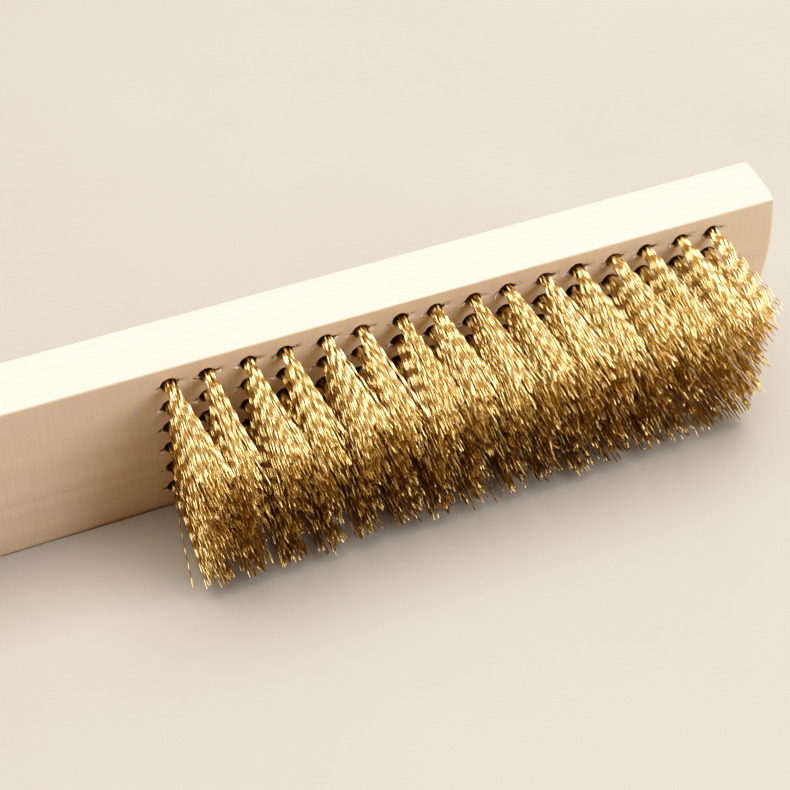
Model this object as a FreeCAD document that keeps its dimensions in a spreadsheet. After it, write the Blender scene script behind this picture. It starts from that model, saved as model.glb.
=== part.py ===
import FreeCAD, Part
import os, math

# Wire scratch brush: a straight wooden block-and-handle in one piece, standing on
# one long narrow edge, with ninety-six tufts of brass wire set into one wide face.
# Millimetres.  +X runs along the board to the brush end, +Z across the board's
# width, and the tufts stand out toward -Y.  The origin is the centre of the narrow
# edge that the brush stands on.

doc = FreeCAD.newDocument("wire_brush")

# ---------------------------------------------------------------- driving sizes
sheet = doc.addObject("Spreadsheet::Sheet", "Sizes")
sizes = [
    ("board_length", 240.0, "overall length of the board"),
    ("board_width", 40.8, "width, which is the height when standing on edge"),
    ("board_thick", 12.7, "thickness"),
    ("end_radius", 78.0, "radius of the bowed ends, seen square to the wide face"),
    ("edge_round", 0.45, "easing all round the two wide faces"),
    ("corner_round", 0.9, "rounding of the four outer corners of the outline"),
    ("field_x", 43.1, "centre of the tuft field along the board"),
    ("field_z", 21.0, "centre of the tuft field above the resting edge"),
    ("column_pitch", 8.0, "mean spacing of tuft rows along the board"),
    ("column_shift", 0.235, "alternate rows sit this far either way of the mean"),
    ("tuft_pitch", 6.0, "spacing of tufts across the board"),
    ("hole_radius", 1.7, "drilled hole"),
    ("hole_depth", 7.4, "depth of the hole's straight wall"),
    ("drill_tip", 0.8, "depth of the drill point below the straight wall"),
    ("anchor_length", 5.8, "flat anchor wire, along the board"),
    ("anchor_thick", 0.36, "flat anchor wire, across the board"),
    ("anchor_deep", 1.5, "flat anchor wire, into the board"),
    ("anchor_outer", 4.9, "depth of the anchor's outer edge below the face"),
    ("anchor_skew", 12.0, "degrees that the anchors lie askew to the board"),
    ("root_radius", 1.52, "bundle of folded wire inside the hole"),
    ("root_depth", 7.1, "depth of the folded bundle below the face"),
    ("wire_radius", 0.15, "one strand of the bundle"),
    ("wire_reach", 25.2, "how far the strands stand out of the face"),
    ("wire_buried", 1.2, "part of a strand that is merged with the bundle"),
    ("inner_root", 0.62, "inner ring of strands at the face"),
    ("outer_root", 1.24, "outer ring of strands at the face"),
    ("spread_x", 3.2, "outer ring at the tips, along the board"),
    ("spread_z", 2.6, "outer ring at the tips, across the board"),
]
sheet.set("A1", "name")
sheet.set("B1", "value")
sheet.set("C1", "what it is")
for n, (alias, value, note) in enumerate(sizes, start=2):
    sheet.set("A%d" % n, alias)
    sheet.set("B%d" % n, repr(value))
    sheet.set("C%d" % n, note)
    sheet.setAlias("B%d" % n, alias)
doc.recompute()

COLUMNS = 16
TUFTS = 6


def fail(text):
    raise RuntimeError(text)


def bind(obj, **sized):
    for name, expression in sized.items():
        obj.setExpression(name.replace("__", "."), expression)


def plane(body, role):
    for feature in body.Origin.OriginFeatures:
        if feature.Role == role:
            return feature
    fail("no plane " + role)


# ---------------------------------------------------------------- the board
# Outline in the plane of the wide face: two straight long edges and two bowed ends.
board = doc.addObject("PartDesign::Body", "Board")
outline = board.newObject("Sketcher::SketchObject", "BoardOutline")
outline.AttachmentSupport = [(plane(board, "XZ_Plane"), "")]
outline.MapMode = "FlatFace"

length0, width0, radius0 = 240.0, 40.8, 78.0
sag0 = radius0 - math.sqrt(radius0**2 - (width0 / 2) ** 2)
half0 = length0 / 2 - sag0
V = FreeCAD.Vector
low = outline.addGeometry(Part.LineSegment(V(-half0, 0, 0), V(half0, 0, 0)), False)
head = outline.addGeometry(
    Part.Arc(V(half0, 0, 0), V(length0 / 2, width0 / 2, 0), V(half0, width0, 0)), False
)
high = outline.addGeometry(
    Part.LineSegment(V(half0, width0, 0), V(-half0, width0, 0)), False
)
tail = outline.addGeometry(
    Part.Arc(V(-half0, width0, 0), V(-length0 / 2, width0 / 2, 0), V(-half0, 0, 0)),
    False,
)


def constrain(*what):
    import Sketcher

    return outline.addConstraint(Sketcher.Constraint(*what))


constrain("Coincident", low, 2, head, 1)
constrain("Coincident", head, 2, high, 1)
constrain("Coincident", high, 2, tail, 1)
constrain("Coincident", tail, 2, low, 1)
constrain("Horizontal", low)
constrain("Horizontal", high)
constrain("Symmetric", low, 1, low, 2, -1, 1)
constrain("Vertical", low, 2, high, 1)
constrain("Equal", low, high)
constrain("Equal", head, tail)
c = constrain("DistanceY", low, 2, high, 1, width0)
outline.setExpression("Constraints[%d]" % c, "Sizes.board_width")
c = constrain("Radius", head, radius0)
outline.setExpression("Constraints[%d]" % c, "Sizes.end_radius")
c = constrain("DistanceX", low, 1, low, 2, 2 * half0)
outline.setExpression(
    "Constraints[%d]" % c,
    "Sizes.board_length - 2 * (Sizes.end_radius"
    " - sqrt(Sizes.end_radius ^ 2 - (Sizes.board_width / 2) ^ 2))",
)
doc.recompute()

blank = board.newObject("PartDesign::Pad", "BoardBlank")
blank.Profile = outline
bind(blank, Length="Sizes.board_thick")
if hasattr(blank, "SideType"):
    blank.SideType = "Symmetric"
else:
    blank.Midplane = True
outline.Visibility = False
doc.recompute()


def edges_where(shape, test):
    return [
        "Edge%d" % (k + 1) for k, edge in enumerate(shape.Edges) if test(edge)
    ]


def ends_of(edge):
    return edge.Vertexes[0].Point, edge.Vertexes[-1].Point


def across_thickness(edge):
    a, b = ends_of(edge)
    return abs(a.x - b.x) < 1e-6 and abs(a.z - b.z) < 1e-6


corners = board.newObject("PartDesign::Fillet", "OutlineCorners")
corners.Base = (blank, edges_where(blank.Shape, across_thickness))
bind(corners, Radius="Sizes.corner_round")
doc.recompute()


def is_end_arc(edge):
    return (
        edge.Curve.TypeId == "Part::GeomCircle" and edge.Curve.Radius > 20.0
    )


# the easing runs on from each end arc round the whole face, through the corners
eased = board.newObject("PartDesign::Fillet", "FaceEdges")
eased.Base = (corners, edges_where(corners.Shape, is_end_arc))
bind(eased, Radius="Sizes.edge_round")
doc.recompute()
board.Tip = eased
doc.recompute()

# ---------------------------------------------------------------- the holes
# One column of six blind holes with drill points, each crossed by the narrow kerf
# that its anchor wire cut on the way in.  Sixteen copies stand along the board.
# Kerf, anchor and the passage through the tuft are each drawn once, square to the
# board about a hole's centre, and every copy is turned by the same small skew.
def skewed(name, what, y, up):
    copy = doc.addObject("Part::Compound", name)
    copy.Links = [what]
    copy.setExpression(
        "Placement",
        "placement(vector(0; %s; %s); rotation(vector(0; 1; 0); -Sizes.anchor_skew))"
        % (y, up),
    )
    return copy


kerf_master = doc.addObject("Part::Box", "KerfMaster")
bind(
    kerf_master,
    Length="Sizes.anchor_length",
    Width="Sizes.anchor_outer + Sizes.anchor_deep + 1",
    Height="Sizes.anchor_thick",
    Placement__Base__x="-Sizes.anchor_length / 2",
    Placement__Base__y="-1",
    Placement__Base__z="-Sizes.anchor_thick / 2",
)
kerfs = []
for row in range(1, TUFTS + 1):
    up = "Sizes.field_z + (%g) * Sizes.tuft_pitch" % (3.5 - row)
    wall = doc.addObject("Part::Cylinder", "HoleWall%d" % row)
    wall.Placement.Rotation = FreeCAD.Rotation(V(1, 0, 0), -90)
    bind(
        wall,
        Radius="Sizes.hole_radius",
        Height="Sizes.hole_depth + 1",
        Placement__Base__y="-Sizes.board_thick / 2 - 1",
        Placement__Base__z=up,
    )
    point = doc.addObject("Part::Cone", "HolePoint%d" % row)
    point.Placement.Rotation = FreeCAD.Rotation(V(1, 0, 0), -90)
    bind(
        point,
        Radius1="Sizes.hole_radius",
        Radius2="Sizes.hole_radius * 0.12",
        Height="Sizes.drill_tip",
        Placement__Base__y="-Sizes.board_thick / 2 + Sizes.hole_depth",
        Placement__Base__z=up,
    )
    kerf = skewed("Kerf%d" % row, kerf_master, "-Sizes.board_thick / 2", up)
    hole = doc.addObject("Part::MultiFuse", "Hole%d" % row)
    hole.Shapes = [wall, point, kerf]
    kerfs.append(hole)
column = doc.addObject("Part::Compound", "HoleColumn")
column.Links = kerfs


def column_x(number):
    way = "+" if number % 2 else "-"
    return "Sizes.field_x + (%g) * Sizes.column_pitch %s Sizes.column_shift" % (
        number - 8.5,
        way,
    )


columns = []
for number in range(1, COLUMNS + 1):
    copy = doc.addObject("Part::Compound", "Holes%02d" % number)
    copy.Links = [column]
    bind(copy, Placement__Base__x=column_x(number))
    columns.append(copy)
drilling = doc.addObject("Part::Compound", "Drilling")
drilling.Links = columns
handle = doc.addObject("Part::Cut", "HandleBlock")
handle.Base = board
handle.Tool = drilling
handle.Label = "handle_block"
doc.recompute()

# ---------------------------------------------------------------- the anchors
# A short flat wire lies across each hole and bites into the wood either side.
anchor_master = doc.addObject("Part::Box", "AnchorMaster")
bind(
    anchor_master,
    Length="Sizes.anchor_length",
    Width="Sizes.anchor_deep",
    Height="Sizes.anchor_thick",
    Placement__Base__x="-Sizes.anchor_length / 2",
    Placement__Base__y="Sizes.anchor_outer",
    Placement__Base__z="-Sizes.anchor_thick / 2",
)
anchor_set = []
for row in range(1, TUFTS + 1):
    up = "Sizes.field_z + (%g) * Sizes.tuft_pitch" % (3.5 - row)
    anchor_set.append(
        skewed("Anchor%d" % row, anchor_master, "-Sizes.board_thick / 2", up)
    )

# ---------------------------------------------------------------- one tuft
# The folded bundle inside the hole, and the strands that fan out of it: one at the
# centre, a ring of six and a ring of twelve.  The centre of the tuft's root at the
# board's face is the tuft's own origin.
bundle = doc.addObject("Part::Cylinder", "TuftRoot")
bundle.Placement.Rotation = FreeCAD.Rotation(V(1, 0, 0), -90)
bind(bundle, Radius="Sizes.root_radius", Height="Sizes.root_depth")

strands = []
layout = [(0.0, 0.0, 0)]
layout += [(60.0 * k, 1.0, 1) for k in range(6)]
layout += [(30.0 * k + 15.0, 1.0, 2) for k in range(12)]
ragged = [1.0, 0.975, 1.02, 0.96, 1.01, 0.985, 1.03, 0.97]
for number, (angle, _, ring) in enumerate(layout):
    cos, sin = math.cos(math.radians(angle)), math.sin(math.radians(angle))
    root = {0: "0 * Sizes.outer_root", 1: "Sizes.inner_root", 2: "Sizes.outer_root"}[ring]
    share = {0: 0.0, 1: 0.52, 2: 1.0}[ring]
    out = ragged[number % len(ragged)]
    reach = "(Sizes.wire_reach * %.4f)" % out
    # where the strand leaves the face, and how far its tip has moved sideways
    rx, rz = "(%s * %.6f)" % (root, cos), "(%s * %.6f)" % (root, sin)
    dx = "(Sizes.spread_x * %.6f - %s)" % (share * cos, rx)
    dz = "(Sizes.spread_z * %.6f - %s)" % (share * sin, rz)
    run = "sqrt(%s ^ 2 + %s ^ 2 + %s ^ 2)" % (dx, reach, dz)
    buried = "(Sizes.wire_buried / Sizes.wire_reach)"
    strand = doc.addObject("Part::Cylinder", "Strand%02d" % (number + 1))
    bind(strand, Radius="Sizes.wire_radius", Height="(1 + %s) * %s" % (buried, run))
    # from +Z to the strand's own line (dx, -reach, dz)
    strand.setExpression(
        "Placement",
        "placement(vector(%s - %s * %s; Sizes.wire_buried * %.4f; %s - %s * %s);"
        " rotation(vector(%s; %s; 0); acos(%s / %s)))"
        % (rx, dx, buried, out, rz, dz, buried, reach, dx, dz, run),
    )
    strands.append(strand)
solid_tuft = doc.addObject("Part::MultiFuse", "TuftSolid")
solid_tuft.Shapes = [bundle] + strands
passage = skewed("AnchorPassage", anchor_master, "0", "0")
tuft = doc.addObject("Part::Cut", "Tuft")
tuft.Base = solid_tuft
tuft.Tool = passage
doc.recompute()

tuft_set = []
for row in range(1, TUFTS + 1):
    up = "Sizes.field_z + (%g) * Sizes.tuft_pitch" % (3.5 - row)
    copy = doc.addObject("Part::Compound", "TuftInRow%d" % row)
    copy.Links = [tuft]
    bind(
        copy,
        Placement__Base__y="-Sizes.board_thick / 2",
        Placement__Base__z=up,
    )
    tuft_set.append(copy)

# ---------------------------------------------------------------- sub-parts
parts = [handle]
for number in range(1, COLUMNS + 1):
    anchors = doc.addObject("Part::Compound", "AnchorRow%02d" % number)
    anchors.Links = anchor_set
    anchors.Label = "anchor_row_%02d" % number
    bind(anchors, Placement__Base__x=column_x(number))
    parts.append(anchors)
for number in range(1, COLUMNS + 1):
    tufts = doc.addObject("Part::Compound", "BristleRow%02d" % number)
    tufts.Links = tuft_set
    tufts.Label = "bristle_row_%02d" % number
    bind(tufts, Placement__Base__x=column_x(number))
    parts.append(tufts)
doc.recompute()

# ---------------------------------------------------------------- checks
for obj in doc.Objects:
    if "Invalid" in obj.State or "Error" in obj.State:
        fail("%s did not compute: %s" % (obj.Name, obj.State))
for obj in parts:
    if obj.Shape.isNull() or not obj.Shape.isValid():
        fail("%s has no valid shape" % obj.Label)
    wanted = 1 if obj is handle else TUFTS
    if len(obj.Shape.Solids) != wanted:
        fail("%s has %d solids" % (obj.Label, len(obj.Shape.Solids)))
    for solid in obj.Shape.Solids:
        if solid.Volume <= 0:
            fail("%s has an empty solid" % obj.Label)
drilled = board.Shape.Volume - handle.Shape.Volume
one_hole = kerfs[0].Shape.Volume
if not 0.6 * 96 * one_hole < drilled < 96 * one_hole:
    fail("the holes did not cut the board")

# ---------------------------------------------------------------- writing
os.makedirs("parts", exist_ok=True)
for obj in parts:
    shape = obj.Shape
    solids = shape.Solids
    shape = solids[0] if len(solids) == 1 else Part.makeCompound(solids)
    shape.exportStep("parts/%s.step" % obj.Label)
    box = shape.BoundBox
    print(
        "%-16s %3d solids %9.2f mm3  x %8.2f %8.2f  y %7.2f %7.2f  z %6.2f %6.2f"
        % (
            obj.Label,
            len(solids),
            shape.Volume,
            box.XMin,
            box.XMax,
            box.YMin,
            box.YMax,
            box.ZMin,
            box.ZMax,
        )
    )
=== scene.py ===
import math

import bpy
import numpy as np
from mathutils import Matrix, Vector, noise


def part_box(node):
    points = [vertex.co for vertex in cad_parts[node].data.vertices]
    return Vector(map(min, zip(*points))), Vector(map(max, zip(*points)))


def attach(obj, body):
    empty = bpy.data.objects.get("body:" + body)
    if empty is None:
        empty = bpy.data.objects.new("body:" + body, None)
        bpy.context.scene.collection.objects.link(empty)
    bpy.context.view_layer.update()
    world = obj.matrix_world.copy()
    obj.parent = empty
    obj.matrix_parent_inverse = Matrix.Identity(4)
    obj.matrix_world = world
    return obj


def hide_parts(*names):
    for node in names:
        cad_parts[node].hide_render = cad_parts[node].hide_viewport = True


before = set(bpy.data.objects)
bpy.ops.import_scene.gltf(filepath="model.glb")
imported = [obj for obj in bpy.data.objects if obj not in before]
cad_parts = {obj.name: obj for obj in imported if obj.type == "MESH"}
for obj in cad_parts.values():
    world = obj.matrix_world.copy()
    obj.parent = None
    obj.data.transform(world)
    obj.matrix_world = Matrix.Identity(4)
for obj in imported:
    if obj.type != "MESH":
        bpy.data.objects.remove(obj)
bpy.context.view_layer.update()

MM = 0.001

# ------------------------------------------------------------------ sizes, in mm
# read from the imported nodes, so that the looks follow the CAD
low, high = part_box("handle_block")
LENGTH = (high.x - low.x) / MM
THICK = (high.y - low.y) / MM
WIDTH = (high.z - low.z) / MM
FACE = low.y / MM
END_RADIUS = 78.0
EDGE = 0.45
HOLE = 1.7
HOLE_DEEP = 7.4
KERF_HALF, KERF_THICK = 2.9, 0.36
SKEW = math.radians(12.0)  # the anchors lie a little askew to the board
ROWS, TUFTS = 16, 6
column_x, tuft_z = [], []
for number in range(1, ROWS + 1):
    a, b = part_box("anchor_row_%02d" % number)
    column_x.append((a.x + b.x) / 2 / MM)
a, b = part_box("anchor_row_01")
one = 2 * KERF_HALF * math.sin(SKEW) + KERF_THICK * math.cos(SKEW)  # one anchor's height
span = ((b.z - a.z) / MM - one) / (TUFTS - 1)
for k in range(TUFTS):
    tuft_z.append(b.z / MM - one / 2 - k * span)
a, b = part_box("bristle_row_01")
REACH = FACE - a.y / MM  # the longest strand

# ------------------------------------------------------------------ camera
AZ, EL, ROLL = math.radians(-26.970), math.radians(47.967), math.radians(4.198)
back = Vector((math.sin(AZ) * math.cos(EL), -math.cos(AZ) * math.cos(EL), math.sin(EL)))
right = Vector((math.cos(AZ), math.sin(AZ), 0))
up = back.cross(right)
r2 = math.cos(ROLL) * right + math.sin(ROLL) * up
u2 = -math.sin(ROLL) * right + math.cos(ROLL) * up
turn = Matrix((r2, u2, back)).transposed()
eye = turn @ Vector((-11.076, -7.990, 364.335)) + Vector((43.1, FACE, 21.0))
camera = bpy.data.objects.new("Camera", bpy.data.cameras.new("Camera"))
bpy.context.scene.collection.objects.link(camera)
camera.data.sensor_width = 36.0
camera.data.lens = 1769.275 / 790 * 36.0
camera.data.clip_start, camera.data.clip_end = 0.01, 20.0
camera.matrix_world = Matrix.Translation(eye * MM) @ turn.to_4x4()
bpy.context.scene.camera = camera


# ------------------------------------------------------------------ helpers
def make_object(name, verts, faces, smooth=True, sharp=None):
    mesh = bpy.data.meshes.new(name)
    verts = np.asarray(verts, np.float32)
    mesh.from_pydata(verts.tolist(), [], faces)
    mesh.update()
    if smooth:
        mesh.polygons.foreach_set("use_smooth", np.ones(len(mesh.polygons), bool))
        if sharp:
            mesh.set_sharp_from_angle(angle=math.radians(sharp))
    obj = bpy.data.objects.new(name, mesh)
    bpy.context.scene.collection.objects.link(obj)
    return obj


def make_quads(name, verts, quads, flat):
    """A mesh of quads only, straight from arrays."""
    mesh = bpy.data.meshes.new(name)
    n = len(quads)
    mesh.vertices.add(len(verts))
    mesh.vertices.foreach_set("co", np.asarray(verts, np.float32).ravel())
    mesh.loops.add(4 * n)
    mesh.loops.foreach_set("vertex_index", np.asarray(quads, np.int32).ravel())
    mesh.polygons.add(n)
    mesh.polygons.foreach_set("loop_start", np.arange(0, 4 * n, 4, dtype=np.int32))
    mesh.polygons.foreach_set("use_smooth", ~np.asarray(flat, bool))
    mesh.update(calc_edges=True)
    mesh.validate()
    mesh.set_sharp_from_angle(angle=math.radians(75))  # the cut ends stay crisp
    obj = bpy.data.objects.new(name, mesh)
    bpy.context.scene.collection.objects.link(obj)
    return obj


class Nodes:
    """Short calls for building a material's node tree."""

    def __init__(self, name):
        self.mat = bpy.data.materials.new(name)
        self.mat.use_nodes = True
        self.tree = self.mat.node_tree
        self.tree.nodes.clear()
        self.out = self.tree.nodes.new("ShaderNodeOutputMaterial")
        self.shader = self.tree.nodes.new("ShaderNodeBsdfPrincipled")
        self.link(self.shader.outputs[0], self.out.inputs["Surface"])

    def link(self, a, b):
        self.tree.links.new(a, b)

    def put(self, node, name, value):
        if hasattr(value, "is_output"):
            self.link(value, node.inputs[name])
        else:
            node.inputs[name].default_value = value

    def add(self, kind, **inputs):
        node = self.tree.nodes.new("ShaderNode" + kind)
        for name, value in inputs.items():
            self.put(node, name.replace("_", " "), value)
        return node

    def math(self, operation, a, b=0.0, c=0.0, clamp=False):
        node = self.tree.nodes.new("ShaderNodeMath")
        node.operation = operation
        node.use_clamp = clamp
        for k, value in enumerate((a, b, c)):
            self.put(node, k, value)
        return node.outputs[0]

    def mix(self, factor, a, b, blend="MIX"):
        node = self.tree.nodes.new("ShaderNodeMix")
        node.data_type = "RGBA"
        node.blend_type = blend
        self.put(node, 0, factor)
        self.put(node, 6, a if hasattr(a, "is_output") else (*a, 1.0))
        self.put(node, 7, b if hasattr(b, "is_output") else (*b, 1.0))
        return node.outputs[2]

    def ramp(self, value, stops, interpolation="LINEAR"):
        node = self.tree.nodes.new("ShaderNodeValToRGB")
        node.color_ramp.interpolation = interpolation
        while len(node.color_ramp.elements) < len(stops):
            node.color_ramp.elements.new(0.5)
        for element, (at, colour) in zip(node.color_ramp.elements, stops):
            element.position = at
            element.color = (
                (*colour, 1.0)
                if isinstance(colour, (tuple, list))
                else (colour, colour, colour, 1.0)
            )
        self.link(value, node.inputs[0])
        return node.outputs[0]

    def remap(self, value, a, b, c=0.0, d=1.0, smooth=False):
        node = self.tree.nodes.new("ShaderNodeMapRange")
        node.interpolation_type = "SMOOTHSTEP" if smooth else "LINEAR"
        for k, v in enumerate((value, a, b, c, d)):
            self.put(node, k, v)
        return node.outputs[0]

    def place(self, vector, scale, shift=(0, 0, 0), turned=(0, 0, 0)):
        node = self.tree.nodes.new("ShaderNodeMapping")
        self.put(node, "Vector", vector)
        node.inputs["Scale"].default_value = scale
        node.inputs["Location"].default_value = shift
        node.inputs["Rotation"].default_value = turned
        return node.outputs[0]

    def noise(self, vector, scale, detail=3.0, rough=0.5, distortion=0.0):
        node = self.add(
            "TexNoise",
            Vector=vector,
            Scale=scale,
            Detail=detail,
            Roughness=rough,
            Distortion=distortion,
        )
        return node.outputs[0]


# ------------------------------------------------------------------ materials
def wood_material():
    n = Nodes("board_wood")
    where = n.add("TexCoord").outputs["Object"]
    mm = n.place(where, (1000, 1000, 1000))
    normal = n.add("NewGeometry").outputs["Normal"]
    split = n.add("SeparateXYZ", Vector=normal)
    ny = n.math("ABSOLUTE", split.outputs[1])
    nx = n.math("ABSOLUTE", split.outputs[0])
    wide = n.remap(ny, 0.55, 0.9, smooth=True)
    endgrain = n.remap(nx, 0.55, 0.9, smooth=True)

    # growth rings: distance from a pith line that lies far behind the board
    bent = n.noise(n.place(mm, (0.006, 0.05, 0.05)), 1.0, 2.0, 0.5)
    wander = n.add("SeparateXYZ", Vector=mm)
    dy = n.math("ADD", wander.outputs[1], 74.0)
    dz = n.math("ADD", wander.outputs[2], -58.0)
    ring = n.math(
        "SQRT",
        n.math("ADD", n.math("MULTIPLY", dy, dy), n.math("MULTIPLY", dz, dz)),
    )
    ring = n.math("ADD", ring, n.math("MULTIPLY", bent, 9.0))
    ring_at = n.add("CombineXYZ", X=ring)
    rings = n.noise(ring_at.outputs[0], 0.42, 3.0, 0.6)
    # long fibres
    fibre = n.noise(n.place(mm, (0.035, 2.2, 2.2)), 1.0, 6.0, 0.62, 0.15)
    fine = n.noise(n.place(mm, (0.10, 6.5, 6.5)), 1.0, 4.0, 0.6)
    # short dark pores and rays
    pores = n.noise(n.place(mm, (0.55, 9.0, 9.0)), 1.0, 2.0, 0.5)
    pores = n.remap(pores, 0.66, 0.78, smooth=True)
    # the planer's and saw's marks across the wide faces
    marks = n.noise(n.place(mm, (1.6, 0.02, 0.035)), 1.0, 4.0, 0.7)
    ripple = n.noise(n.place(mm, (0.22, 0.02, 0.03)), 1.0, 2.0, 0.5)
    blotch = n.noise(n.place(mm, (0.025, 0.06, 0.06)), 1.0, 3.0, 0.55)
    # painted shade: 1 deep inside the bored holes, less at their mouths; on the fibre and kerf grooves
    # round them it is partly painted shade, partly real bruising
    bruise_and_painted_shade = n.add("Attribute")
    bruise_and_painted_shade.attribute_name = "bruise_and_painted_shade"
    bruise_and_painted_shade = bruise_and_painted_shade.outputs["Fac"]

    colour = n.ramp(
        rings,
        [(0.30, (0.73, 0.555, 0.395)), (0.52, (0.79, 0.615, 0.450)), (0.74, (0.83, 0.665, 0.500))],
    )
    # the planed narrow edges are paler than the sawn wide faces
    narrow = n.math("SUBTRACT", 1.0, wide)
    colour = n.mix(n.math("MULTIPLY", narrow, 0.5), colour, (0.77, 0.61, 0.435))
    colour = n.mix(
        n.remap(fibre, 0.35, 0.7),
        colour,
        n.mix(1.0, colour, (0.965, 0.94, 0.905), "MULTIPLY"),
    )
    colour = n.mix(
        n.math("MULTIPLY", n.remap(fine, 0.45, 0.75), 0.12),
        colour,
        (0.62, 0.44, 0.28),
    )
    colour = n.mix(n.math("MULTIPLY", pores, 0.16), colour, (0.50, 0.34, 0.20))
    colour = n.mix(
        n.math("MULTIPLY", n.remap(marks, 0.42, 0.70), n.math("MULTIPLY", wide, 0.13)),
        colour,
        (0.60, 0.43, 0.28),
    )
    colour = n.mix(
        n.remap(blotch, 0.35, 0.70, 0.0, 0.35),
        colour,
        n.mix(1.0, colour, (0.97, 0.92, 0.85), "MULTIPLY"),
    )
    colour = n.mix(
        n.math("MULTIPLY", endgrain, 0.45),
        colour,
        n.mix(1.0, colour, (0.84, 0.73, 0.60), "MULTIPLY"),
    )
    # painted shade in the holes and kerf grooves, mixed with real bruising, darkens the wood here
    colour = n.mix(
        n.math("MULTIPLY", bruise_and_painted_shade, n.remap(fine, 0.3, 0.7, 0.72, 0.95), clamp=True),
        colour,
        (0.150, 0.090, 0.045),
    )
    n.link(colour, n.shader.inputs["Base Color"])
    rough = n.remap(fibre, 0.3, 0.7, 0.58, 0.74)
    n.link(rough, n.shader.inputs["Roughness"])
    n.shader.inputs["Specular IOR Level"].default_value = 0.35

    height = n.math("MULTIPLY", fibre, 0.5)
    height = n.math("ADD", height, n.math("MULTIPLY", fine, 0.35))
    height = n.math("SUBTRACT", height, n.math("MULTIPLY", pores, 0.45))
    height = n.math(
        "ADD", height, n.math("MULTIPLY", n.math("MULTIPLY", marks, wide), 0.9)
    )
    height = n.math(
        "ADD", height, n.math("MULTIPLY", n.math("MULTIPLY", ripple, wide), 1.6)
    )
    bump = n.add("Bump", Strength=0.40, Distance=0.00010, Height=height)
    n.link(bump.outputs[0], n.shader.inputs["Normal"])
    return n.mat


def brass_material(name, dull=0.0):
    n = Nodes(name)
    where = n.add("TexCoord").outputs["Object"]
    mm = n.place(where, (1000, 1000, 1000))
    island = n.add("NewGeometry").outputs["Random Per Island"]
    tarnish = n.noise(mm, 0.16, 3.0, 0.55)
    specks = n.noise(mm, 1.9, 3.0, 0.6)
    colour = n.ramp(
        island,
        [
            (0.00, (0.80, 0.590, 0.266)),
            (0.35, (0.88, 0.684, 0.350)),
            (0.70, (0.93, 0.752, 0.427)),
            (1.00, (0.96, 0.804, 0.510)),
        ],
    )
    colour = n.mix(
        n.remap(tarnish, 0.42, 0.70, 0.0, 0.30 + dull * 0.4),
        colour,
        (0.66, 0.405, 0.125),
    )
    colour = n.mix(n.remap(specks, 0.62, 0.78, 0.0, 0.30), colour, (0.50, 0.30, 0.10))
    n.link(colour, n.shader.inputs["Base Color"])
    n.shader.inputs["Metallic"].default_value = 1.0
    n.shader.inputs["Roughness"].default_value = 0.26 + 0.10 * dull
    return n.mat


def torn_material():
    """Freshly torn fibre: paler and rougher than the planed wood."""
    n = Nodes("torn_wood")
    where = n.add("TexCoord").outputs["Object"]
    mm = n.place(where, (1000, 1000, 1000))
    fibre = n.noise(n.place(mm, (0.6, 5.0, 5.0)), 1.0, 4.0, 0.6)
    colour = n.ramp(
        fibre, [(0.30, (0.86, 0.75, 0.60)), (0.55, (0.92, 0.85, 0.73)), (0.75, (0.95, 0.91, 0.83))]
    )
    n.link(colour, n.shader.inputs["Base Color"])
    n.shader.inputs["Roughness"].default_value = 0.8
    n.shader.inputs["Specular IOR Level"].default_value = 0.3
    bump = n.add("Bump", Strength=0.5, Distance=0.0001, Height=fibre)
    n.link(bump.outputs[0], n.shader.inputs["Normal"])
    return n.mat


wood = wood_material()
torn_wood = torn_material()
brass = brass_material("brass_wire")
anchor_brass = brass_material("anchor_brass", 0.6)


# ------------------------------------------------------------------ the board
def arc_back(z):
    """How far the bowed end lies behind its middle, at height z."""
    d = z - WIDTH / 2
    return END_RADIUS - math.sqrt(END_RADIUS**2 - d * d)


def cells():
    """The edges of the cells, one round each tuft: along x, then along z."""
    xs = [column_x[0] - 4.0]
    xs += [(p + q) / 2 for p, q in zip(column_x, column_x[1:])]
    xs += [column_x[-1] + 4.0]
    zs = [tuft_z[0] + span / 2 - k * span for k in range(TUFTS + 1)][::-1]
    return xs, zs


SIDE = 10  # points along each side of a cell


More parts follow.
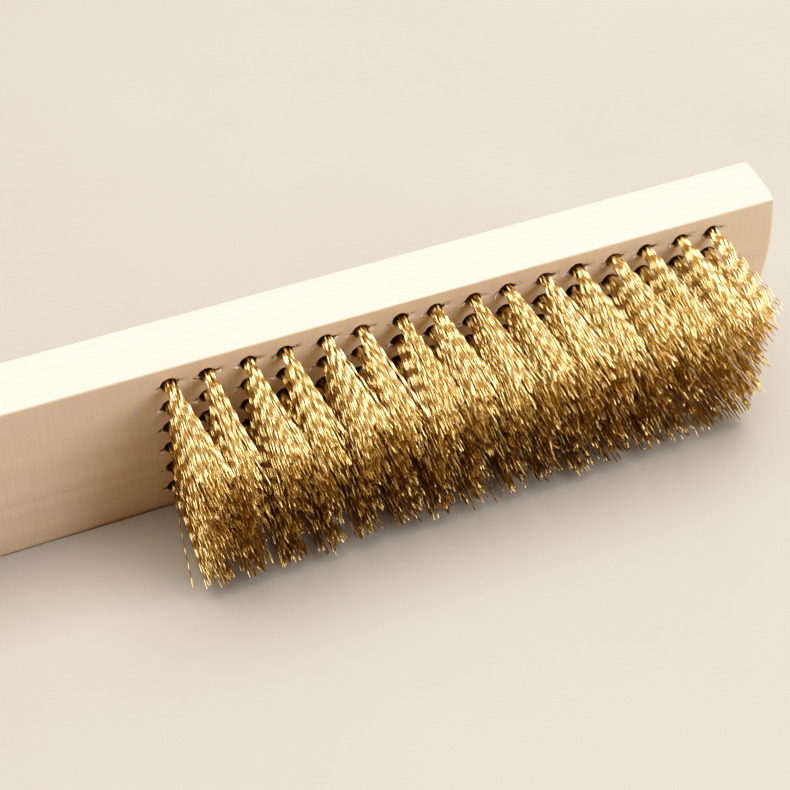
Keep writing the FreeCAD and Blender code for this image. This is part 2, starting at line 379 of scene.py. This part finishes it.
def board_mesh():
    cx, cz = cells()
    half, thick = LENGTH / 2, THICK / 2
    xs = [-half, -half + 0.12, -half + EDGE, -half + 1.4, -half + 3.0]
    xs += list(np.linspace(-half + 5.5, cx[0] - 1.2, 34))
    first = len(xs)
    for p, q in zip(cx, cx[1:]):
        xs += [p + (q - p) * k / SIDE for k in range(SIDE)]
    last = len(xs)
    xs += [cx[-1]]
    xs += list(np.linspace(cx[-1] + 1.3, half - 3.0, 7))
    xs += [half - 1.4, half - EDGE, half - 0.12, half]
    ys = [-thick, -thick + 0.12, -thick + EDGE, -3.6, 0.0, 3.6, thick - EDGE, thick - 0.12, thick]
    zs = [0.0, 0.12, EDGE, 1.5]
    under = len(zs)
    for p, q in zip(cz, cz[1:]):
        zs += [p + (q - p) * k / SIDE for k in range(SIDE)]
    over = len(zs)
    zs += [cz[-1], WIDTH - 1.1, WIDTH - EDGE, WIDTH - 0.12, WIDTH]

    verts, index = [], {}

    def shape(x, y, z):
        cxx = min(max(x, -half + EDGE), half - EDGE)
        cyy = min(max(y, -thick + EDGE), thick - EDGE)
        czz = min(max(z, EDGE), WIDTH - EDGE)
        d = Vector((x - cxx, y - cyy, z - czz))
        if d.length > 1e-9:
            d = d.normalized() * EDGE
        p = Vector((cxx, cyy, czz)) + d
        # hand-eased long corners wander a little
        wob = noise.noise(Vector((p.x * 0.07, p.y * 0.3, p.z * 0.2))) * 0.03 + 0.03
        p -= d.normalized() * wob if d.length > 1e-9 else Vector()
        # bowed and slightly crowned ends
        corner = ((p.z - WIDTH / 2) / (WIDTH / 2)) ** 2  # the saw cut leans at the corners
        crown = 0.06 + 0.05 * noise.noise(Vector((p.y * 0.4, p.z * 0.25, 3.1)))
        crown -= 0.95 * min(corner, 1.0) * (1 - ((p.y - 3.2) / 9.55) ** 2)
        setback = max(arc_back(min(max(p.z, 0.0), WIDTH)) + crown, 0.0)
        near = cx[-1] + 1.0
        if p.x > near:
            p.x -= (p.x - near) / (half - near) * setback
        near = -half + 12.0
        if p.x < near:
            p.x += (near - p.x) / 12.0 * setback
        return p

    def vertex(i, j, k):
        key = (i, j, k)
        if key not in index:
            index[key] = len(verts)
            verts.append(shape(xs[i], ys[j], zs[k]))
        return index[key]

    nx, ny, nz = len(xs) - 1, len(ys) - 1, len(zs) - 1
    faces = []
    for i in range(nx):
        for k in range(nz):
            # front, left open where the cells go
            if not (first <= i < last and under <= k < over):
                faces.append(
                    (vertex(i, 0, k), vertex(i + 1, 0, k), vertex(i + 1, 0, k + 1), vertex(i, 0, k + 1))
                )
            faces.append(
                (vertex(i, ny, k), vertex(i, ny, k + 1), vertex(i + 1, ny, k + 1), vertex(i + 1, ny, k))
            )
        for j in range(ny):
            faces.append(
                (vertex(i, j, 0), vertex(i, j + 1, 0), vertex(i + 1, j + 1, 0), vertex(i + 1, j, 0))
            )
            faces.append(
                (vertex(i, j, nz), vertex(i + 1, j, nz), vertex(i + 1, j + 1, nz), vertex(i, j + 1, nz))
            )
    for j in range(ny):
        for k in range(nz):
            faces.append(
                (vertex(0, j, k), vertex(0, j, k + 1), vertex(0, j + 1, k + 1), vertex(0, j + 1, k))
            )
            faces.append(
                (vertex(nx, j, k), vertex(nx, j + 1, k), vertex(nx, j + 1, k + 1), vertex(nx, j, k + 1))
            )

    # the drilled cells
    rng = np.random.default_rng(40)
    fibres, bruise_and_painted_shade = [], {}
    for c in range(ROWS):
        for t in range(TUFTS):  # t counts up from the bottom
            x0, z0 = column_x[c], tuft_z[TUFTS - 1 - t]
            border = []
            i0, k0 = first + c * SIDE, under + t * SIDE
            for q in range(SIDE):
                border.append(vertex(i0 + SIDE, 0, k0 + q))
            for q in range(SIDE):
                border.append(vertex(i0 + SIDE - q, 0, k0 + SIDE))
            for q in range(SIDE):
                border.append(vertex(i0, 0, k0 + SIDE - q))
            for q in range(SIDE):
                border.append(vertex(i0 + q, 0, k0))
            e1, e2 = KERF_HALF * rng.uniform(0.86, 1.02), KERF_HALF * rng.uniform(0.86, 1.02)
            h = KERF_THICK / 2
            tilt = SKEW + rng.normal(0, 0.035)
            lips = [(HOLE + 0.05, h * 1.9), (HOLE + 0.38, h * 1.35), (HOLE + 0.70, h * 0.7)]

            def kerf_points(end, sign):
                upper = [(x, y) for x, y in lips] + [(end, h * 0.2)]
                points = [(x, -y) for x, y in upper] + [(x, y) for x, y in upper[::-1]]
                return [(sign * x, sign * y) for x, y in points]

            def arc(a, b, count):
                return [
                    (
                        HOLE * math.cos(math.radians(a + (b - a) * q / (count - 1))),
                        HOLE * math.sin(math.radians(a + (b - a) * q / (count - 1))),
                    )
                    for q in range(count)
                ]

            top, bottom = arc(14, 166, 12), arc(194, 346, 12)
            contour = (
                [bottom[-1]]
                + kerf_points(e1, 1)
                + [top[0]]
                + top[1:-1]
                + [top[-1]]
                + kerf_points(e2, -1)
                + [bottom[0]]
                + bottom[1:-1]
            )
            contour = [
                (
                    x * math.cos(tilt) - y * math.sin(tilt),
                    x * math.sin(tilt) + y * math.cos(tilt),
                )
                for x, y in contour
            ]
            # ragged drilling
            contour = [
                (
                    x * (1 + 0.05 * noise.noise(Vector((x * 1.7, y * 1.7, c * 7.3 + t)))),
                    y * (1 + 0.05 * noise.noise(Vector((x * 1.7 + 9, y * 1.7, c * 7.3 + t)))),
                )
                for x, y in contour
            ]
            dent = rng.uniform(0.05, 0.20)
            lift = rng.uniform(0.02, 0.12)
            groove_right, groove_left = rng.uniform(0.20, 0.42), rng.uniform(0.08, 0.26)
            ct, st = math.cos(tilt), math.sin(tilt)
            rings = [border]
            for s in (0.70, 0.48, 0.32, 0.20, 0.11, 0.05, 0.0):
                ring = []
                for q, (x, z) in enumerate(contour):
                    b = verts[border[q]]
                    px, pz = x0 + x, z0 + z
                    px, pz = px + (b.x - px) * s, pz + (b.z - pz) * s
                    d = math.hypot(px - (x0 + x), pz - (z0 + z))
                    rough = noise.noise(Vector((px * 1.3, pz * 1.3, 1.0)))
                    fine = noise.noise(Vector((px * 4.1, pz * 4.1, 5.0)))
                    sunk = dent * math.exp(-d / 0.30) * (1.0 + 0.7 * rough)
                    # along the kerf and across it
                    u = (px - x0) * ct + (pz - z0) * st
                    v = -(px - x0) * st + (pz - z0) * ct
                    deep = groove_right if u > 0 else groove_left
                    reach = min(max((abs(u) - 1.1) / 0.8, 0.0), 1.0)
                    reach *= min(max((3.7 - abs(u)) / 1.3, 0.0), 1.0)
                    sunk += deep * reach * math.exp(-((v / 0.56) ** 2)) * (1 + 0.8 * rough)
                    # painted shade along the kerf grooves and round the hole rim, partly real bruising
                    # from the anchors
                    bruise_and_shade_at_vertex = (0.38 if u > 0 else 0.20) * reach * math.exp(-((v / 0.46) ** 2))
                    bruise_and_shade_at_vertex += 0.28 * math.exp(-d / 0.10)
                    bruise_and_painted_shade[len(verts)] = bruise_and_shade_at_vertex * (1 + 0.9 * rough + 0.6 * fine)
                    sunk -= lift * math.exp(-(((d - 0.40) / 0.22) ** 2)) * (0.5 + fine)
                    ring.append(len(verts))
                    verts.append(Vector((px, FACE + max(sunk, -0.0) + 0.01, pz)))
                rings.append(ring)
            for depth in (0.35, 1.2, 3.2, HOLE_DEEP):
                ring = []
                for x, z in contour:
                    shrink = 1.0 if depth < HOLE_DEEP else 0.98
                    jag = 0.03 * noise.noise(Vector((x * 3, z * 3, depth + c + t * 0.7)))
                    # painted shade on the bored hole walls, darker below 1 mm deep
                    bruise_and_painted_shade[len(verts)] = 0.28 if depth < 1.0 else 0.75
                    ring.append(len(verts))
                    verts.append(
                        Vector((x0 + x * (shrink + jag), FACE + depth, z0 + z * (shrink + jag)))
                    )
                rings.append(ring)
            count = len(border)
            for outer, inner in zip(rings, rings[1:]):
                for q in range(count):
                    w = (q + 1) % count
                    faces.append((outer[q], outer[w], inner[w], inner[q]))
            tip = len(verts)
            verts.append(Vector((x0, FACE + HOLE_DEEP + 0.8, z0)))
            deepest = rings[-1]
            for q in range(count):
                faces.append((deepest[q], deepest[(q + 1) % count], tip))
            fibres.append((x0, z0, e1, e2, tilt))

    # torn chips and fibres that the anchors pushed up round the kerfs
    solid_faces = len(faces)
    for x0, z0, e1, e2, tilt in fibres:
        ct, st = math.cos(tilt), math.sin(tilt)
        for side, end in ((1, e1), (-1, e2)):
            many = int(rng.integers(2, 5)) if side < 0 else int(rng.integers(1, 4))
            for _ in range(many):
                run = rng.uniform(0.45, 1.15)
                u = side * rng.uniform(HOLE + 0.25, end + 0.15)
                v = rng.choice([-1, 1]) * rng.uniform(0.12, 0.42)
                heading = tilt + rng.normal(0, 0.5) + (0 if rng.random() < 0.5 else math.pi)
                rise = rng.uniform(0.15, 0.55)
                wide = rng.uniform(0.18, 0.48) if side < 0 else rng.uniform(0.08, 0.24)
                px, pz = x0 + u * ct - v * st, z0 + u * st + v * ct
                along = Vector((math.cos(heading), 0, math.sin(heading)))
                across = Vector((-math.sin(heading), 0, math.cos(heading)))
                skewness = rng.normal(0, 0.25)
                rows = []
                steps = 5
                for q in range(steps + 1):
                    f = q / steps
                    centre = (
                        Vector((px, FACE + 0.10, pz))
                        + along * run * (f - 0.25)
                        + across * skewness * f * f * run
                        + Vector((0, -rise * f**1.6 - 0.04 * f, 0))
                    )
                    w = wide * (1 - f) ** 0.6 * (1 + 0.25 * rng.normal()) * 0.5 + 0.02
                    up_by = Vector((0, -0.035 - 0.03 * (1 - f), 0))
                    rows.append(
                        [
                            centre - across * w,
                            centre + up_by,
                            centre + across * w,
                            centre - up_by * 0.6,
                        ]
                    )
                start = len(verts)
                for row in rows:
                    verts.extend(row)
                for q in range(steps):
                    for w in range(4):
                        a0 = start + 4 * q + w
                        a1 = start + 4 * q + (w + 1) % 4
                        faces.append((a0, a1, a1 + 4, a0 + 4))
                faces.append(tuple(start + w for w in (3, 2, 1, 0)))
                faces.append(tuple(start + 4 * steps + w for w in range(4)))
    # the per-vertex painted shade of the holes and kerfs, with some real bruising, for the wood
    # material
    marks = np.zeros(len(verts), np.float32)
    for k, value in bruise_and_painted_shade.items():
        marks[k] = min(max(value, 0.0), 1.0)
    return [v * MM for v in verts], faces, solid_faces, marks


verts, faces, solid_faces, marks = board_mesh()
board = make_object("wooden_handle_block", verts, faces, sharp=38)
board.data.attributes.new("bruise_and_painted_shade", "FLOAT", "POINT").data.foreach_set("value", marks)
board.data.materials.append(wood)
board.data.materials.append(torn_wood)
board.data.polygons.foreach_set(
    "material_index", (np.arange(len(faces)) >= solid_faces).astype(np.int32)
)
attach(board, "root")
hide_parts("handle_block")

# ------------------------------------------------------------------ the wire
CLUMPS = 16  # nested groups of two to four wires in a tuft
WIRE_R = 0.14
SIDES = 6
LAMBDA = 4.1  # length of one crimp
AMP = 0.235
OUT = 24.95  # usual length out of the face


def sunflower(count, rng):
    k = np.arange(count) + 0.5
    r = (k / count) ** 0.55
    a = k * 2.399963 + rng.uniform(0, 2 * math.pi)
    q = np.stack([r * np.cos(a), r * np.sin(a)], 1)
    return q + rng.normal(0, 0.04, q.shape)


NEST = np.array([(0.0, 0.0), (0.26, 0.03), (0.12, 0.24), (-0.15, 0.22)])


def drift(q, rng, scale):
    """A smooth random number for each wire, shared by the wires near it."""
    total = np.zeros(len(q))
    for _ in range(5):
        a, f = rng.uniform(0, 2 * math.pi), rng.uniform(0.5, 1.0) * scale
        total += np.sin(f * (q[:, 0] * math.cos(a) + q[:, 1] * math.sin(a)) + rng.uniform(0, 6.3))
    return total / math.sqrt(2.5)


def tuft_paths(c, t, rng):
    """The centre lines of one tuft's wires: (wires, points, 3) in mm."""
    x0, z0 = column_x[c], tuft_z[t]
    x0 += rng.normal(0, 0.08) + 0.05
    z0 += rng.normal(0, 0.08) - 0.05
    centres = sunflower(CLUMPS, rng)
    sizes = rng.choice([2, 3, 3], CLUMPS)
    clump = np.repeat(np.arange(CLUMPS), sizes)
    place = np.concatenate([np.arange(n) for n in sizes])
    count = len(clump)
    spin = rng.uniform(0, 2 * math.pi, CLUMPS)[clump]
    nest = NEST[place] - NEST[:3].mean(0)
    nest = np.stack(
        [
            nest[:, 0] * np.cos(spin) - nest[:, 1] * np.sin(spin),
            nest[:, 0] * np.sin(spin) + nest[:, 1] * np.cos(spin),
        ],
        1,
    )
    q = centres[clump]
    lean = np.array([rng.normal(0, 0.30), rng.normal(0, 0.22)])
    if c == 0:  # the end columns keep in at their tips
        lean[0] += 0.35 + 0.10 * t
    elif c == ROWS - 1:
        lean[0] -= 0.55
    lean[1] += 0.25 * ((2.5 - t) / 2.5) ** 3
    spread = np.array([3.25, 3.05]) * rng.uniform(0.95, 1.06)
    if c == ROWS - 1 and t < 2:  # the brush end's upper tufts have not opened far
        spread *= (0.54, 0.85)[t]
    if c == ROWS - 1 and t == 0:
        lean = np.array([-0.9, -0.9])
    off = rng.normal(0, 0.27, centres.shape)
    tip = q * spread + lean + off[clump] + nest * rng.uniform(1.8, 3.0, CLUMPS)[clump][:, None]
    tip += rng.normal(0, 0.16, q.shape)
    # a few wires stray further
    stray = rng.random(count) < 0.05
    tip[stray] += rng.normal(0, 0.9, (stray.sum(), 2))
    out = OUT + rng.normal(0, 0.45, CLUMPS)[clump] + rng.normal(0, 0.40, count) + 0.2 * rng.normal()
    short = rng.random(count) < 0.22
    out[short] -= rng.uniform(0.4, 4.5, short.sum())
    far = rng.random(count) < 0.04
    out[far] += 0.7
    amp = AMP * (1 + rng.normal(0, 0.12, CLUMPS)[clump] + rng.normal(0, 0.04, count))
    # wires that are in step at the root drift out of step towards the tips
    length = LAMBDA * rng.uniform(0.96, 1.04) * (1 + rng.normal(0, 0.022, CLUMPS)[clump])
    length *= 1 + rng.normal(0, 0.035, count)
    # the crimps of neighbouring wires nest; at the brush end whole tufts keep step
    loose = 0.7 if c >= 13 else 2.0
    start = rng.uniform(0, 2 * math.pi) if c < 13 else 0.6 + rng.normal(0, 0.5)
    phase = start + loose * drift(centres, rng, 5.0)[clump]
    phase += (0.45 if c >= 13 else 0.95) * rng.normal(0, 1, CLUMPS)[clump] + rng.normal(0, 0.25, count)
    plane = math.pi / 2 + rng.normal(0, 0.12) + rng.normal(0, 0.15, CLUMPS)[clump]
    plane += rng.normal(0, 0.05, count)
    root = q * 1.02 + nest * 0.9 + np.array([0.11, 0.20])  # packed up against the hole

    loner = []
    if c == 0 and t == TUFTS - 1:  # one wire that has strayed far from its tuft
        k = int(np.argmin(q[:, 0]))
        tip[k], out[k], amp[k], plane[k] = (-5.2, 0.3), 25.4, 0.20, 1.35
    if c == ROWS - 1 and t == 0:  # long loose wires at the brush end's upper corner
        ends = ((1.9, -2.0, 24.8), (2.6, -1.2, 24.5), (2.95, -0.5, 23.9))
        loner = np.argsort(root[:, 0] - 0.3 * root[:, 1])[-3:]
        for n, k in enumerate(loner):
            tip[k], out[k], amp[k] = ends[n][:2], ends[n][2], 0.32
            plane[k], phase[k], length[k] = 1.42, 0.8 + 0.25 * n, 4.6

    out = np.minimum(out, REACH - 0.14)
    low_z, high_z = 0.45 - z0, WIDTH - 0.45 - z0
    tip[:, 1] = np.clip(tip[:, 1], low_z, high_z)

    step = LAMBDA / 7
    samples = int(round(27.0 / step))
    s = np.linspace(0, 1, samples + 1)
    # from 2 mm inside the hole to the tip
    y = -2.0 + (out[:, None] + 2.0) * s[None, :]  # distance out of the face
    f = np.clip(y / OUT, 0, None)
    lateral = root[:, None, :] + (tip - root)[:, None, :] * f[:, :, None]
    bow = rng.normal(0, 0.12, (count, 2))
    bow[loner, 0] = 0.35
    bow = bow[:, None, :] * np.sin(np.pi * np.clip(f, 0, 1))[:, :, None]
    lateral = lateral + bow
    wave = np.sin(2 * math.pi * y / length[:, None] + phase[:, None])
    fade = np.clip((y + 3.0) / 2.6, 0.25, 1.0)
    wave = wave * amp[:, None] * fade * (1 - 0.25 * np.clip(f, 0, 1))
    dx = wave * np.cos(plane)[:, None]
    dz = wave * np.sin(plane)[:, None]
    path = np.stack([x0 + lateral[:, :, 0] + dx, FACE - y, z0 + lateral[:, :, 1] + dz], 2)
    # the buried legs, either side of the anchor, and half of the fold below it
    zr = root[:, 1]
    leg = np.sign(zr) * np.maximum(np.abs(zr), 0.42)
    xr = np.clip(root[:, 0], -1.35, 1.35)
    buried = []
    for depth, zf in ((7.0, 0.0), (6.85, 0.62), (6.3, 1.0), (4.3, 1.0)):
        buried.append(
            np.stack(
                [
                    x0 + xr * math.cos(SKEW) - leg * zf * math.sin(SKEW),
                    np.full(count, FACE + depth),
                    z0 + leg * zf * math.cos(SKEW) + xr * math.sin(SKEW),
                ],
                1,
            )
        )
    path = np.concatenate([np.stack(buried, 1), path], 1)
    return path


def tubes(paths, radius):
    """Round each line a thin tube with flat cut ends, as arrays of vertices and quads."""
    paths = np.asarray(paths)
    w, p, _ = paths.shape
    tangent = np.gradient(paths, axis=1)
    tangent /= np.linalg.norm(tangent, axis=2, keepdims=True)
    side = np.array([1.0, 0.0, 0.0])
    normal = side - tangent * (tangent @ side)[..., None]
    normal /= np.linalg.norm(normal, axis=2, keepdims=True)
    other = np.cross(tangent, normal)
    a = np.arange(SIDES) * 2 * math.pi / SIDES
    thick = np.full(p, radius)
    thick[-1] *= 0.55  # sheared tips
    thick = thick[None, :, None, None]
    rings = (
        paths[:, :, None, :]
        + thick * (normal[:, :, None, :] * np.cos(a)[None, None, :, None]
        + other[:, :, None, :] * np.sin(a)[None, None, :, None])
    )
    verts = rings.reshape(-1, 3)
    i = np.arange(w)[:, None, None] * p * SIDES
    k = np.arange(p - 1)[None, :, None] * SIDES
    j = np.arange(SIDES)[None, None, :]
    a0 = i + k + j
    a1 = i + k + (j + 1) % SIDES
    quads = np.stack([a0, a0 + SIDES, a1 + SIDES, a1], 3).reshape(-1, 4)
    first = np.arange(w)[:, None] * p * SIDES + np.arange(SIDES)[None, :]
    last = first + (p - 1) * SIDES
    ends = []
    for k in range(1, SIDES - 1, 2):  # a six-sided cap is two quads
        ends += [first[:, [0, k, k + 1, k + 2]], last[:, [k + 2, k + 1, k, 0]]]
    caps = np.concatenate([np.zeros(len(quads), bool), np.ones(w * (SIDES - 2), bool)])
    return verts, np.concatenate([quads] + ends), caps


for c in range(ROWS):
    rng = np.random.default_rng(1000 + c)
    allv, allq, flat, base = [], [], [], 0
    for t in range(TUFTS):
        paths = tuft_paths(c, t, rng)
        v, qd, caps = tubes(paths, WIRE_R)
        v[:, 1] = np.maximum(v[:, 1], FACE - REACH + 0.005)
        v[:, 2] = np.clip(v[:, 2], 0.01, WIDTH - 0.01)
        allv.append(v)
        allq.append(qd + base)
        flat.append(caps)
        base += len(v)
    number = c + 1
    wire = make_quads(
        "crimped_wire_row_%02d" % number,
        np.concatenate(allv) * MM,
        np.concatenate(allq),
        np.concatenate(flat),
    )
    wire.data.materials.append(brass)
    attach(wire, "root")
    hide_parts("bristle_row_%02d" % number)

for number in range(1, ROWS + 1):
    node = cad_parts["anchor_row_%02d" % number]
    for s in node.material_slots:
        s.material = anchor_brass

# ------------------------------------------------------------------ the floor and light
STUDIO = (0.83, 0.765, 0.655)  # how bright the studio is, away from the lamps
STUDIO_SIZE = 6.0


def floor_material():
    n = Nodes("pale_floor")
    where = n.add("TexCoord").outputs["Object"]
    soft = n.noise(where, 6.0, 4.0, 0.5)
    colour = n.ramp(soft, [(0.3, (0.345, 0.305, 0.262)), (0.7, (0.375, 0.335, 0.292))])
    n.link(colour, n.shader.inputs["Base Color"])
    n.shader.inputs["Roughness"].default_value = 0.6
    # the far floor, beyond the lamps, is as pale as the floor under the brush
    split = n.add("SeparateXYZ", Vector=where)
    x, y = split.outputs[0], split.outputs[1]
    r2 = n.math("ADD", n.math("MULTIPLY", x, x), n.math("MULTIPLY", y, y))
    near = n.math("POWER", n.math("DIVIDE", 1.21, n.math("ADD", r2, 1.21)), 2.0)
    n.shader.inputs["Emission Color"].default_value = (*STUDIO, 1.0)
    n.link(n.remap(near, 0.70, 0.0), n.shader.inputs["Emission Strength"])
    return n.mat


def backdrop_material():
    n = Nodes("pale_backdrop")
    where = n.add("TexCoord").outputs["Object"]
    soft = n.noise(where, 0.5, 2.0, 0.5)
    colour = n.ramp(soft, [(0.3, [v * 0.98 for v in STUDIO]), (0.7, [v * 1.02 for v in STUDIO])])
    n.shader.inputs["Base Color"].default_value = (0.0, 0.0, 0.0, 1.0)
    n.shader.inputs["Roughness"].default_value = 1.0
    n.shader.inputs["Specular IOR Level"].default_value = 0.0
    n.link(colour, n.shader.inputs["Emission Color"])
    n.shader.inputs["Emission Strength"].default_value = 1.0
    return n.mat


floor = make_object(
    "floor",
    [(x * STUDIO_SIZE, y * STUDIO_SIZE, 0) for x, y in ((-1, -1), (1, -1), (1, 1), (-1, 1))],
    [(0, 1, 2, 3)],
    smooth=False,
)
floor.data.materials.append(floor_material())
floor.location.z = -0.00002

# a pale wall round the floor, which is seen but lights nothing
around = [2 * math.pi * k / 96 for k in range(96)]
wall = [
    (0.98 * STUDIO_SIZE * math.cos(a), 0.98 * STUDIO_SIZE * math.sin(a), z)
    for z in (-0.01, STUDIO_SIZE)
    for a in around
]
backdrop = make_object(
    "backdrop",
    wall,
    [(k, (k + 1) % 96, 96 + (k + 1) % 96, 96 + k) for k in range(96)],
    smooth=False,
)
backdrop.data.materials.append(backdrop_material())
backdrop.visible_diffuse = False
backdrop.visible_glossy = False
backdrop.visible_transmission = False
backdrop.visible_shadow = False


def area(name, at, aim, size, power, colour=(1, 1, 1)):
    light = bpy.data.lights.new(name, "AREA")
    light.shape = "RECTANGLE"
    light.size, light.size_y = size
    light.energy = power
    light.color = colour
    obj = bpy.data.objects.new(name, light)
    bpy.context.scene.collection.objects.link(obj)
    obj.location = at
    obj.rotation_euler = (Vector(aim) - Vector(at)).to_track_quat("-Z", "Y").to_euler()
    return obj


area("key", (0.75, -0.55, 0.75), (0.05, 0, 0.02), (0.8, 0.8), 12.2, (0.945, 1.0, 1.09))
area("overhead", (0.04, 0.18, 1.10), (0.05, 0, 0.02), (1.5, 0.85), 26.3, (1.0, 0.957, 0.885))
area("behind", (0.10, 1.00, 0.85), (0.05, 0, 0.02), (2.0, 1.2), 8.0, (1.0, 0.96, 0.88))
world = bpy.data.worlds.new("studio")
bpy.context.scene.world = world
world.use_nodes = True
world.node_tree.nodes["Background"].inputs[0].default_value = (0.96, 0.58, 0.31, 1)
world.node_tree.nodes["Background"].inputs[1].default_value = 0.13

# a camera's tone curve: a slight toe, straight up to 0.7, then easing to white
show = bpy.context.scene.view_settings
show.view_transform = "Standard"
show.use_curve_mapping = True
show.curve_mapping.white_level = (2.0, 2.0, 2.0)
curve = show.curve_mapping.curves[3]
curve.points[0].location = (0.0, 0.0)
curve.points[1].location = (1.0, 1.0)
for at, level in (
    (0.010, 0.007),
    (0.025, 0.026),
    (0.050, 0.073),
    (0.100, 0.183),
    (0.175, 0.343),
    (0.350, 0.700),
    (0.430, 0.815),
    (0.500, 0.885),
    (0.600, 0.950),
    (0.770, 0.993),
):
    curve.points.new(at, level)
show.curve_mapping.update()

bpy.context.view_layer.update()
